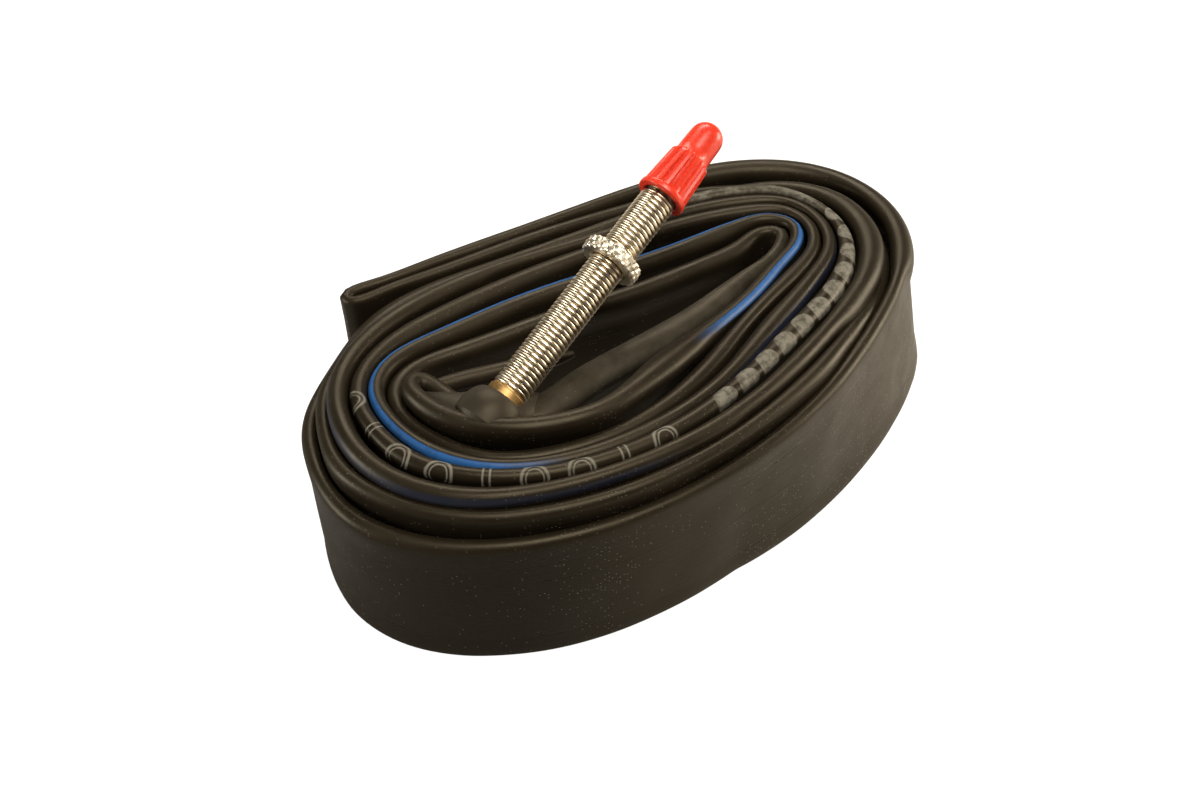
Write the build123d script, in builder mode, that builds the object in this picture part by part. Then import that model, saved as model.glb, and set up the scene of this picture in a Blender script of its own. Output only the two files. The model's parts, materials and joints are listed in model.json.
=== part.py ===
from build123d import *
import math
import os

# Road-bicycle inner tube, deflated, laid flat into a doubled strip and rolled up standing on edge,
# with its Presta valve leaning over the roll.  Millimetres, +Z up, roll resting on z = 0.

# ---- rubber tube -------------------------------------------------------------------------------
STRIP_WIDTH = 26.0        # lay-flat width of the tube (roll height of one strand)
STRIP_THICK = 2.0         # the two butyl walls pressed together
PATCH_LONG = 16.0         # moulded rubber patch under the valve
PATCH_WIDE = 7.0
SEGMENT = 6               # sections per lofted length of strip
STEP = 7.0                # furthest apart two sections stand
ORIGIN_X = -1.35          # moves the roll so the box centre is the origin
ORIGIN_Y = -0.68

# ---- valve, distances s are measured along the valve axis from the rubber surface ----------------
FOOT = (-26.5, -6.9, 30.5)      # where the axis leaves the rubber
VALVE_TURN = 20.0               # heading of the axis from +X, degrees
VALVE_RISE = 22.0               # climb of the axis above horizontal, degrees
STEM_D = 5.8                    # crests of the 6 mm valve thread
STEM_MINOR_D = 4.9
PITCH = 0.794
COLLAR_D = 6.0                  # plain brass collar at the foot
COLLAR_LEN = 1.3
COLLAR_FROM = 0.3                # the rim stops here, just clear of the rubber
BURIED_D = 5.6                  # stem inside the rubber
THREAD_TOP = 39.4
NECK_D = 5.2                    # cap and pump thread
NECK_MINOR_D = 4.7
NECK_TOP = 44.4
LAND_D = 5.2                    # plain land at the very top of the neck
LAND_LEN = 1.2
AIR_BORE_D = 2.6
CORE_BORE_D = 3.7
CORE_BORE_FROM = 27.0
FOOT_FLANGE_D = 7.4
FOOT_FLANGE_T = 1.0
FOOT_DEPTH = 4.6                # how far the foot sits inside the rubber

# ---- rim nut ------------------------------------------------------------------------------------
NUT_D = 9.8
NUT_T = 2.2
NUT_AT = 26.0
NUT_BORE_D = 5.88
NUT_TEETH = 30
NUT_BEVEL = 0.3
KNURL_DEPTH = 0.3

# ---- valve core ---------------------------------------------------------------------------------
CORE_D = 3.6
CORE_FROM = 31.2
CORE_TOP = 47.2
CORE_HEAD_D = 4.6
CORE_HEAD_FROM = NECK_TOP
CORE_FLATS = 3.7
CORE_PIN_BORE_D = 2.3
GUIDE_LEN = 1.4
PIN_D = 1.6
PIN_GUIDE_D = 1.7
PIN_TIP = 51.4
GASKET_AT = 33.0
GASKET_T = 1.4
GASKET_BORE_D = 2.9
SEAL_D = 3.1
SEAL_T = 1.5
RETAINER_D = 2.6
RETAINER_T = 0.8
TIP_NUT_D = 4.2
TIP_NUT_T = 3.2
TIP_NUT_BORE_D = 1.66
TIP_NUT_TEETH = 18

# ---- dust cap -----------------------------------------------------------------------------------
CAP_FROM = 39.8
CAP_TIP = 54.8
CAP_RIM_D = 8.0
CAP_RIM_T = 1.0
CAP_SKIRT_D = 7.6
CAP_SHOULDER_D = 6.7
CAP_SHOULDER = 48.0
CAP_DOME_D = 5.7
CAP_BORE_D = 5.3
CAP_WELL_D = 5.0                # room for the core's head
CAP_WELL_FROM = 45.6
CAP_TOP_WELL_D = 4.6            # room for the tip nut
CAP_WELL_TOP = 53.0
CAP_RIBS = 16

os.makedirs("parts", exist_ok=True)

# ---- frames -------------------------------------------------------------------------------------
turn = math.radians(VALVE_TURN)
rise = math.radians(VALVE_RISE)
axis_dir = Vector(math.cos(rise) * math.cos(turn), math.cos(rise) * math.sin(turn), math.sin(rise))
foot = Vector(FOOT[0] + ORIGIN_X, FOOT[1] + ORIGIN_Y, FOOT[2])
side_dir = Vector(-math.sin(turn), math.cos(turn), 0)


def at(s, spin=0.0):
    """Plane across the valve axis, s millimetres out from the rubber surface, spun about the axis."""
    x_way = side_dir.rotate(Axis((0, 0, 0), axis_dir), spin)
    return Plane(origin=foot + axis_dir * s, x_dir=x_way, z_dir=axis_dir)


def profile_plane():
    """Plane holding the axis: local x is the radius, local y runs out along the valve."""
    return Plane(origin=foot, x_dir=side_dir, z_dir=side_dir.cross(axis_dir))


valve_axis = Axis(origin=foot, direction=axis_dir)


def ridges(s_from, s_to, minor, major, pitch):
    """Points of a ridged edge, from s_from up to s_to, as (radius, s)."""
    pts = []
    count = int((s_to - s_from) / pitch)
    for i in range(count):
        base = s_from + i * pitch
        pts.append((minor / 2, base + 0.10 * pitch))
        pts.append((major / 2, base + 0.45 * pitch))
        pts.append((major / 2, base + 0.60 * pitch))
        pts.append((minor / 2, base + 0.95 * pitch))
    return pts


# ---- the two strands of the roll ------------------------------------------------------------------
# Each row is x, y and the height of the strand's top fold, going outward round the roll.
outer_strand = [
    (-37.2, -0.5, 32.4), (-34.9, -6.8, 32.5), (-30.0, -11.9, 32.6), (-23.6, -15.2, 32.6),
    (-15.5, -16.4, 32.4), (-5.0, -13.2, 31.6), (7.8, -8.8, 30.4), (19.8, -4.2, 29.3),
    (29.8, 1.0, 28.6), (35.6, 4.6, 28.2), (37.5, 8.4, 28.0), (35.6, 11.7, 27.9), (30.0, 13.2, 27.8),
    (16.0, 13.2, 27.8), (0.0, 14.0, 28.0), (-14.0, 14.0, 28.6), (-28.0, 12.4, 29.4),
    (-36.8, 10.2, 30.0), (-41.0, 5.8, 30.4), (-41.9, -1.5, 30.6), (-39.8, -9.3, 30.7),
    (-34.4, -16.1, 30.7), (-25.3, -20.6, 30.6), (-13.0, -22.0, 30.4), (2.0, -19.4, 30.0),
    (17.0, -12.4, 29.4), (32.6, -4.6, 28.7), (39.0, 0.0, 28.3), (42.2, 6.6, 28.0),
    (41.0, 14.0, 27.8), (34.4, 18.6, 27.7), (22.0, 21.4, 27.8), (4.0, 22.8, 28.0),
    (-14.0, 23.4, 28.6), (-28.0, 21.2, 29.4), (-39.6, 15.8, 30.2), (-45.6, 9.2, 30.8),
    (-48.4, 1.0, 31.0), (-47.6, -8.8, 31.0), (-40.4, -19.1, 31.0), (-28.7, -24.9, 31.0),
    (-14.0, -27.1, 30.9), (1.0, -25.7, 30.4), (16.8, -20.6, 29.6), (30.7, -14.2, 28.8),
    (42.0, -6.8, 28.3), (48.0, 1.8, 28.0), (49.0, 11.0, 27.6), (44.4, 19.4, 27.1),
    (34.0, 25.4, 26.7), (18.0, 27.7, 26.3), (0.0, 28.0, 26.1), (-18.0, 28.2, 26.0),
    (-32.0, 26.6, 26.0), (-43.4, 18.9, 26.0), (-50.0, 10.9, 26.0), (-53.5, 0.8, 26.0),
    (-53.4, -9.4, 26.0), (-49.4, -17.6, 26.0), (-40.8, -24.9, 26.0), (-27.8, -30.1, 26.0),
    (-12.0, -31.8, 26.0), (4.0, -30.1, 26.0), (18.6, -25.7, 26.0), (32.5, -19.0, 26.0),
    (44.4, -11.3, 26.0), (53.4, -1.6, 26.0), (56.6, 8.6, 26.0), (54.0, 19.2, 26.0),
    (46.0, 27.2, 26.0), (33.0, 31.8, 26.0), (16.0, 33.1, 26.0), (-4.0, 33.1, 26.0),
    (-20.0, 33.1, 26.0), (-30.0, 33.1, 26.0),
]
outer_turn = [
    (-34.0, 33.1, 26.0), (-34.9, 32.7, 26.0), (-35.3, 31.8, 26.0), (-34.9, 30.9, 26.0),
    (-34.0, 30.5, 26.0),
]
inner_strand = [
    (-30.0, 30.5, 26.0), (-20.0, 30.5, 26.0), (-4.0, 30.6, 26.0), (16.0, 30.4, 26.0),
    (32.4, 28.8, 26.0), (44.0, 23.8, 26.0), (51.0, 16.6, 26.0), (52.8, 8.6, 26.2),
    (50.4, -0.4, 26.6), (43.0, -9.3, 27.2), (31.6, -16.6, 27.8), (17.7, -23.4, 28.4),
    (2.8, -27.8, 28.8), (-12.0, -29.5, 29.1), (-27.9, -27.6, 29.2), (-41.1, -21.5, 29.2),
    (-48.6, -13.0, 29.2), (-51.4, -4.2, 29.0), (-50.15, 4.2, 28.4), (-47.7, 10.3, 27.8),
    (-41.5, 17.4, 27.4), (-30.6, 24.0, 27.2), (-17.0, 25.9, 27.0), (0.0, 25.4, 27.2),
    (18.0, 24.7, 27.5), (33.0, 22.2, 27.7), (41.6, 17.2, 27.9), (44.7, 9.0, 28.0),
    (43.0, 1.0, 28.4), (35.0, -7.6, 29.0), (21.0, -14.6, 29.8), (5.0, -21.2, 30.6),
    (-11.0, -24.5, 31.1), (-25.0, -23.25, 31.3), (-35.5, -18.5, 31.3), (-42.3, -11.2, 31.2),
    (-44.8, -2.0, 31.0), (-43.5, 6.6, 30.6), (-37.2, 13.2, 30.0), (-24.0, 17.2, 29.4),
    (-8.0, 19.2, 28.6), (8.0, 19.6, 28.0), (22.0, 18.7, 27.8), (33.2, 16.0, 27.8),
    (39.0, 12.4, 27.8), (39.9, 6.8, 28.0), (36.6, 1.3, 28.2), (30.4, -2.4, 28.6),
    (15.6, -8.9, 29.0), (0.0, -16.4, 29.3), (-14.0, -19.4, 29.5), (-25.0, -18.0, 29.5),
    (-33.0, -14.0, 29.5), (-37.5, -7.8, 29.5), (-39.6, -0.6, 29.4), (-38.5, 4.9, 29.2),
    (-35.3, 7.9, 28.9), (-26.0, 9.0, 28.4), (-10.0, 9.0, 27.8), (6.0, 8.2, 27.3),
    (19.0, 8.5, 27.0), (28.0, 9.4, 27.0), (33.0, 10.2, 27.1), (35.0, 8.6, 27.3),
    (33.0, 5.5, 27.5), (23.8, 1.5, 27.9), (10.0, -3.0, 28.6), (-4.0, -5.9, 29.2),
    (-14.0, -7.8, 29.4), (-22.0, -9.6, 28.8), (-28.4, -8.0, 27.6), (-31.8, -3.2, 28.8),
]
inner_turn = [
    (-33.4, 1.2, 30.6), (-35.2, 3.4, 31.6), (-36.9, 2.2, 32.2),
]
rows = outer_strand + outer_turn + inner_strand + inner_turn
centre_points = [(x + ORIGIN_X, y + ORIGIN_Y, top - STRIP_WIDTH / 2) for x, y, top in rows]

with BuildLine() as strip_path:
    Spline(*centre_points, periodic=True)


def strip_planes():
    """Upright planes across the strip, never further apart than STEP, and where lofts must break."""
    curve = strip_path.edges()[0]
    total = curve.length
    params = [curve.param_at_point(Vector(*p)) for p in centre_points]
    params[0] = 0.0
    params.append(1.0)
    planes = []
    breaks = []
    for i in range(len(centre_points)):
        if i in sharp_rows:
            breaks.append(len(planes))
        gap = (params[i + 1] - params[i]) * total
        parts = math.ceil(gap / STEP)
        for k in range(parts):
            u = params[i] + (params[i + 1] - params[i]) * k / parts
            way = curve % u
            planes.append(Plane(origin=curve @ u, x_dir=(0, 0, 1), z_dir=Vector(way.X, way.Y, 0)))
    return planes, breaks


turn_row = len(outer_strand)
back_row = turn_row + len(outer_turn)
inner_row = back_row + len(inner_strand)
sharp_rows = [turn_row, back_row - 1, inner_row - 13, inner_row - 9, inner_row - 1]
sections, breaks = strip_planes()
sections.append(sections[0])


def lofted_length(start, stop):
    """One length of strip through sections start to stop."""
    with BuildPart() as piece:
        for plane in sections[start:stop + 1]:
            with BuildSketch(plane):
                SlotOverall(STRIP_WIDTH, STRIP_THICK)
        loft()
    return piece


# ---- valve patch body: moulded rubber mound on the strip's fold, with a boss round the stem --------
mound_plane = Plane(origin=foot + Vector(-2.9, -0.9, -3.6), x_dir=(0.66, -0.75, 0), z_dir=(0, 0, 1))
with BuildPart() as patch_body:
    with BuildSketch(mound_plane.offset(-3.4)):
        Ellipse(PATCH_LONG / 2 - 1.0, PATCH_WIDE / 2 - 0.6)
    with BuildSketch(mound_plane):
        Ellipse(PATCH_LONG / 2, PATCH_WIDE / 2)
    with BuildSketch(mound_plane.offset(1.8)):
        Ellipse(PATCH_LONG / 2 - 1.2, PATCH_WIDE / 2 - 0.5)
    with BuildSketch(mound_plane.offset(3.4)):
        Ellipse(PATCH_LONG / 2 - 3.6, PATCH_WIDE / 2 - 1.8)
    loft()
    with BuildSketch(profile_plane()):
        with BuildLine():
            Polyline((0, -FOOT_DEPTH - 0.8), (4.0, -FOOT_DEPTH - 0.8), (4.5, -FOOT_DEPTH), (4.3, -2.0),
                     (3.9, -0.4), (3.6, 0), (0, 0), close=True)
        make_face()
    revolve(axis=valve_axis)

# ---- inner tube: lengths sewn end to end into one closed strip, relieved round the valve -----------
last = len(sections) - 1
skin = []
start = 0
while start < last:
    stop = min([start + SEGMENT, last] + [b for b in breaks if b > start])
    length = lofted_length(start, stop)
    skin.extend(length.faces().filter_by(GeomType.BSPLINE))
    start = stop
with BuildPart() as inner_tube:
    add(Solid(Shell(skin)))
    add(patch_body.part, mode=Mode.SUBTRACT)
    with BuildSketch(at(-1.0)):
        Circle(STEM_D / 2 + 0.25)
    extrude(amount=9.0, mode=Mode.SUBTRACT)
inner_tube.part.label = "inner_tube"
export_step(inner_tube.part, "parts/inner_tube.step")

# ---- valve patch: the body hollowed for the stem's foot --------------------------------------------
with BuildPart() as valve_patch:
    add(patch_body.part)
    with BuildSketch(profile_plane()):
        with BuildLine():
            Polyline((0, -FOOT_DEPTH), (FOOT_FLANGE_D / 2, -FOOT_DEPTH),
                     (FOOT_FLANGE_D / 2, -FOOT_DEPTH + FOOT_FLANGE_T),
                     (BURIED_D / 2, -FOOT_DEPTH + FOOT_FLANGE_T), (BURIED_D / 2, 0),
                     (COLLAR_D / 2, 0), (COLLAR_D / 2, 2.0), (0, 2.0), close=True)
        make_face()
    revolve(axis=valve_axis, mode=Mode.SUBTRACT)
valve_patch.part.label = "valve_patch"
export_step(valve_patch.part, "parts/valve_patch.step")

# ---- valve stem -------------------------------------------------------------------------------------
with BuildPart() as valve_stem:
    outline = [(AIR_BORE_D / 2, -FOOT_DEPTH), (FOOT_FLANGE_D / 2, -FOOT_DEPTH)]
    outline.append((FOOT_FLANGE_D / 2, -FOOT_DEPTH + FOOT_FLANGE_T))
    outline.append((BURIED_D / 2, -FOOT_DEPTH + FOOT_FLANGE_T))
    outline.append((BURIED_D / 2, COLLAR_FROM))
    outline.append((COLLAR_D / 2, COLLAR_FROM))
    outline.append((COLLAR_D / 2, COLLAR_LEN))
    outline.append((STEM_MINOR_D / 2, COLLAR_LEN))
    outline.extend(ridges(COLLAR_LEN + 0.3, THREAD_TOP, STEM_MINOR_D, STEM_D, PITCH))
    outline.append((STEM_MINOR_D / 2, THREAD_TOP))
    outline.append((NECK_MINOR_D / 2, THREAD_TOP + 0.3))
    outline.extend(ridges(THREAD_TOP + 0.4, NECK_TOP - LAND_LEN, NECK_MINOR_D, NECK_D, PITCH))
    outline.append((NECK_MINOR_D / 2, NECK_TOP - LAND_LEN))
    outline.append((LAND_D / 2, NECK_TOP - LAND_LEN))
    outline.append((LAND_D / 2, NECK_TOP))
    outline.append((CORE_BORE_D / 2, NECK_TOP))
    outline.append((CORE_BORE_D / 2, CORE_BORE_FROM))
    outline.append((AIR_BORE_D / 2, CORE_BORE_FROM - 0.5))
    with BuildSketch(profile_plane()):
        with BuildLine():
            Polyline(*outline, close=True)
        make_face()
    revolve(axis=valve_axis)
valve_stem.part.label = "valve_stem"
export_step(valve_stem.part, "parts/valve_stem.step")

# ---- rim nut: thin round nut with a knurled edge -----------------------------------------------------
with BuildPart() as rim_nut:
    with BuildSketch(at(NUT_AT)):
        Circle(NUT_D / 2)
    extrude(amount=NUT_T)
    chamfer(rim_nut.edges().filter_by(GeomType.CIRCLE), NUT_BEVEL)
    groove_in = NUT_D / 2 - KNURL_DEPTH
    groove_out = NUT_D / 2 + 0.2
    for i in range(NUT_TEETH):
        with BuildSketch(at(NUT_AT, i * 360 / NUT_TEETH)):
            with BuildLine():
                Polyline((groove_in, 0), (groove_out, 0.45), (groove_out, -0.45), close=True)
            make_face()
        extrude(amount=NUT_T, mode=Mode.SUBTRACT)
    with BuildSketch(at(NUT_AT)):
        Circle(NUT_BORE_D / 2)
    extrude(amount=NUT_T, mode=Mode.SUBTRACT)
    lead_in = NUT_BORE_D / 2 + 0.4
    with BuildSketch(profile_plane()):
        with BuildLine():
            Polyline((0, NUT_AT), (lead_in, NUT_AT), (0, NUT_AT + lead_in), close=True)
        make_face()
    revolve(axis=valve_axis, mode=Mode.SUBTRACT)
rim_nut.part.label = "rim_nut"
export_step(rim_nut.part, "parts/rim_nut.step")

# ---- core body: screwed into the stem, with two spanner flats ----------------------------------------
with BuildPart() as core_body:
    outline = [(CORE_PIN_BORE_D / 2, CORE_FROM), (1.45, CORE_FROM), (1.45, GASKET_AT - 0.05)]
    outline.append((GASKET_BORE_D / 2 - 0.02, GASKET_AT - 0.05))
    outline.append((GASKET_BORE_D / 2 - 0.02, GASKET_AT + GASKET_T + 0.02))
    outline.append((CORE_D / 2, GASKET_AT + GASKET_T + 0.02))
    outline.append((CORE_D / 2, CORE_HEAD_FROM + 0.02))
    outline.append((CORE_HEAD_D / 2, CORE_HEAD_FROM + 0.02))
    outline.append((CORE_HEAD_D / 2, CORE_TOP - 0.9))
    outline.append((CORE_HEAD_D / 2 - 0.5, CORE_TOP))
    outline.append((PIN_GUIDE_D / 2, CORE_TOP))
    outline.append((PIN_GUIDE_D / 2, CORE_TOP - GUIDE_LEN))
    outline.append((CORE_PIN_BORE_D / 2, CORE_TOP - GUIDE_LEN - 0.3))
    with BuildSketch(profile_plane()):
        with BuildLine():
            Polyline(*outline, close=True)
        make_face()
    revolve(axis=valve_axis)
    for way in (1, -1):
        flat = way * CORE_FLATS / 2
        with BuildSketch(at(CORE_HEAD_FROM + 0.02)):
            with BuildLine():
                Polyline((flat, -3), (way * 3, -3), (way * 3, 3), (flat, 3), close=True)
            make_face()
        extrude(amount=1.8, mode=Mode.SUBTRACT)
core_body.part.label = "core_body"
export_step(core_body.part, "parts/core_body.step")

# ---- core gasket -------------------------------------------------------------------------------------
with BuildPart() as core_gasket:
    with BuildSketch(at(GASKET_AT)):
        Circle(CORE_BORE_D / 2 - 0.02)
        Circle(GASKET_BORE_D / 2, mode=Mode.SUBTRACT)
    extrude(amount=GASKET_T)
core_gasket.part.label = "core_gasket"
export_step(core_gasket.part, "parts/core_gasket.step")

# ---- pin: slides in the core, headed at both ends ----------------------------------------------------
seal_top = CORE_FROM - 0.02
seal_low = seal_top - SEAL_T
with BuildPart() as core_pin:
    outline = [(0, seal_low - RETAINER_T - 0.5), (PIN_D / 2 + 0.3, seal_low - RETAINER_T - 0.5)]
    outline.append((PIN_D / 2 + 0.3, seal_low - RETAINER_T - 0.02))
    outline.append((PIN_D / 2, seal_low - RETAINER_T - 0.02))
    outline.append((PIN_D / 2, PIN_TIP - 0.3))
    outline.append((PIN_D / 2 - 0.3, PIN_TIP))
    outline.append((0, PIN_TIP))
    with BuildSketch(profile_plane()):
        with BuildLine():
            Polyline(*outline, close=True)
        make_face()
    revolve(axis=valve_axis)
core_pin.part.label = "core_pin"
export_step(core_pin.part, "parts/core_pin.step")

# ---- pin seal and the washer that holds it -------------------------------------------------------------
with BuildPart() as pin_seal:
    with BuildSketch(at(seal_low)):
        Circle(SEAL_D / 2)
        Circle(PIN_D / 2, mode=Mode.SUBTRACT)
    extrude(amount=SEAL_T)
    chamfer(pin_seal.edges().filter_by(GeomType.CIRCLE).group_by(SortBy.RADIUS)[-1], 0.25)
pin_seal.part.label = "pin_seal"
export_step(pin_seal.part, "parts/pin_seal.step")

with BuildPart() as seal_washer:
    with BuildSketch(at(seal_low - RETAINER_T)):
        Circle(RETAINER_D / 2)
        Circle(PIN_D / 2, mode=Mode.SUBTRACT)
    extrude(amount=RETAINER_T)
seal_washer.part.label = "seal_washer"
export_step(seal_washer.part, "parts/seal_washer.step")

# ---- tip nut: knurled lock nut on the end of the pin --------------------------------------------------
with BuildPart() as tip_nut:
    with BuildSketch(at(CORE_TOP + 0.02)):
        Circle(TIP_NUT_D / 2)
    extrude(amount=TIP_NUT_T)
    chamfer(tip_nut.edges().filter_by(GeomType.CIRCLE), 0.4)
    groove_in = TIP_NUT_D / 2 - 0.2
    groove_out = TIP_NUT_D / 2 + 0.15
    for i in range(TIP_NUT_TEETH):
        with BuildSketch(at(CORE_TOP + 0.02, i * 360 / TIP_NUT_TEETH)):
            with BuildLine():
                Polyline((groove_in, 0), (groove_out, 0.28), (groove_out, -0.28), close=True)
            make_face()
        extrude(amount=TIP_NUT_T, mode=Mode.SUBTRACT)
    with BuildSketch(at(CORE_TOP + 0.02)):
        Circle(TIP_NUT_BORE_D / 2)
    extrude(amount=TIP_NUT_T, mode=Mode.SUBTRACT)
tip_nut.part.label = "tip_nut"
export_step(tip_nut.part, "parts/tip_nut.step")

# ---- dust cap -----------------------------------------------------------------------------------------
with BuildPart() as dust_cap:
    with BuildSketch(profile_plane()):
        with BuildLine():
            Polyline((0, CAP_FROM), (CAP_RIM_D / 2 - 0.15, CAP_FROM), (CAP_RIM_D / 2, CAP_FROM + 0.15),
                     (CAP_RIM_D / 2, CAP_FROM + CAP_RIM_T - 0.15),
                     (CAP_RIM_D / 2 - 0.15, CAP_FROM + CAP_RIM_T),
                     (CAP_SKIRT_D / 2, CAP_FROM + CAP_RIM_T), (CAP_SHOULDER_D / 2, CAP_SHOULDER - 0.4),
                     (CAP_SHOULDER_D / 2 - 0.25, CAP_SHOULDER), (CAP_DOME_D / 2, CAP_SHOULDER + 0.25),
                     (CAP_DOME_D / 2 - 0.1, CAP_TIP - 2.6))
            Spline((CAP_DOME_D / 2 - 0.1, CAP_TIP - 2.6), (CAP_DOME_D / 2 - 0.9, CAP_TIP - 0.7),
                   (0, CAP_TIP), tangents=((-0.05, 1), (-1, 0)))
            Line((0, CAP_TIP), (0, CAP_FROM))
        make_face()
    revolve(axis=valve_axis)
    for i in range(CAP_RIBS):
        spin = (i + 0.5) * 360 / CAP_RIBS
        low = CAP_SKIRT_D / 2 - 0.28
        high = CAP_SHOULDER_D / 2 - 0.24
        with BuildSketch(at(CAP_FROM + CAP_RIM_T, spin)):
            with BuildLine():
                Polyline((low, -0.34), (low + 0.6, -0.42), (low + 0.6, 0.42), (low, 0.34), close=True)
            make_face()
        with BuildSketch(at(CAP_SHOULDER - 0.8, spin)):
            with BuildLine():
                Polyline((high, -0.28), (high + 0.6, -0.36), (high + 0.6, 0.36), (high, 0.28), close=True)
            make_face()
        loft(mode=Mode.SUBTRACT)
    with BuildSketch(profile_plane()):
        with BuildLine():
            Polyline((0, CAP_FROM - 0.1), (CAP_BORE_D / 2 + 0.35, CAP_FROM - 0.1),
                     (CAP_BORE_D / 2, CAP_FROM + 0.4),
                     (CAP_BORE_D / 2, CAP_WELL_FROM), (CAP_WELL_D / 2, CAP_WELL_FROM + 0.3),
                     (CAP_WELL_D / 2, CORE_TOP + 0.3), (CAP_TOP_WELL_D / 2, CORE_TOP + 0.6),
                     (CAP_TOP_WELL_D / 2, CAP_WELL_TOP - 1.2), (CAP_TOP_WELL_D / 2 - 1.2, CAP_WELL_TOP),
                     (0, CAP_WELL_TOP), close=True)
        make_face()
    revolve(axis=valve_axis, mode=Mode.SUBTRACT)
dust_cap.part.label = "dust_cap"
export_step(dust_cap.part, "parts/dust_cap.step")

for built in (inner_tube, valve_patch, valve_stem, rim_nut, core_body, core_gasket, core_pin, pin_seal,
              seal_washer, tip_nut, dust_cap):
    box = built.part.bounding_box()
    print(built.part.label, built.part.is_valid, round(built.part.volume, 1), len(built.part.solids()), box)
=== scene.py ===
import json
import math

import bmesh
import bpy
import numpy as np
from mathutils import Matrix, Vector


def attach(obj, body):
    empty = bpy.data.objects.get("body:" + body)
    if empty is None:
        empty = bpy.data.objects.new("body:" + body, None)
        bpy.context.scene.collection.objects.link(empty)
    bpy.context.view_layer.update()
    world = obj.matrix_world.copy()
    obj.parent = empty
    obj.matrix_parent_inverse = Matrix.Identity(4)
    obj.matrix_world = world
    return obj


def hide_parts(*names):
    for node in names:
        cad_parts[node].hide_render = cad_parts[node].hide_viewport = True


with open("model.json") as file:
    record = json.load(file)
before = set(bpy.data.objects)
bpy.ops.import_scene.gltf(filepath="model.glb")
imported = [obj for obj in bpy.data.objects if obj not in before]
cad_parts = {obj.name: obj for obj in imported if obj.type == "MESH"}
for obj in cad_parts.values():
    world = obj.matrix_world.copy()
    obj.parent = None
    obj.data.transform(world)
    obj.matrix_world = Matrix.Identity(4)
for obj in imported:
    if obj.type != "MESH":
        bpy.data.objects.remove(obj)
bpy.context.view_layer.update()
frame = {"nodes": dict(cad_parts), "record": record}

# A rolled-up road-bicycle inner tube: one long flat strip of rubber standing on edge, with its valve.
MM = 0.001

# ---- camera, floor and light ------------------------------------------------------------------------
CAMERA_AIM = Vector((-0.05, 11.32, 0.0)) * MM
CAMERA_AZIMUTH = -31.0
CAMERA_ELEVATION = 45.0
CAMERA_DISTANCE = 232.0 * MM
CAMERA_LENS = 39.0
FLOOR_HALF = 3.0
# from x to x in metres, the light that the floor gives back to the rubber
FLOOR_BOUNCE = (-0.04, 0.05, 0.03, 0.80)


def make_camera():
    azimuth = math.radians(CAMERA_AZIMUTH)
    elevation = math.radians(CAMERA_ELEVATION)
    flat = math.cos(elevation)
    back = Vector((math.sin(azimuth) * flat, -math.cos(azimuth) * flat, math.sin(elevation)))
    data = bpy.data.cameras.new("camera")
    data.lens = CAMERA_LENS
    data.sensor_width = 36.0
    data.clip_start = 0.01
    camera = bpy.data.objects.new("camera", data)
    camera.location = CAMERA_AIM + back * CAMERA_DISTANCE
    camera.rotation_euler = (-back).to_track_quat("-Z", "Y").to_euler()
    bpy.context.scene.collection.objects.link(camera)
    bpy.context.scene.camera = camera


def area_light(name, place, aim, width, height, radiance, colour):
    """A softbox at place that looks at aim. radiance is what its face sends out."""
    data = bpy.data.lights.new(name, "AREA")
    data.shape = "RECTANGLE"
    data.size = width
    data.size_y = height
    data.energy = radiance * math.pi * width * height
    data.color = colour
    light = bpy.data.objects.new(name, data)
    light.location = place
    light.rotation_euler = (Vector(aim) - Vector(place)).to_track_quat("-Z", "Y").to_euler()
    bpy.context.scene.collection.objects.link(light)


def make_world():
    """A pale studio, brighter overhead than round the sides."""
    world = bpy.data.worlds.new("studio")
    bpy.context.scene.world = world
    world.use_nodes = True
    tree = world.node_tree
    tree.nodes.clear()
    place = tree.nodes.new("ShaderNodeTexCoord")
    split = tree.nodes.new("ShaderNodeSeparateXYZ")
    ramp = tree.nodes.new("ShaderNodeValToRGB")
    shade = tree.nodes.new("ShaderNodeBackground")
    out = tree.nodes.new("ShaderNodeOutputWorld")
    tree.links.new(place.outputs["Generated"], split.inputs[0])
    tree.links.new(split.outputs["Z"], ramp.inputs[0])
    tree.links.new(ramp.outputs[0], shade.inputs[0])
    tree.links.new(shade.outputs[0], out.inputs[0])
    ramp.color_ramp.elements[0].position = 0.0
    ramp.color_ramp.elements[0].color = (0.16, 0.145, 0.12, 1)
    ramp.color_ramp.elements[1].position = 0.5
    ramp.color_ramp.elements[1].color = (0.055, 0.048, 0.038, 1)
    shade.inputs[1].default_value = 1.0


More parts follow.
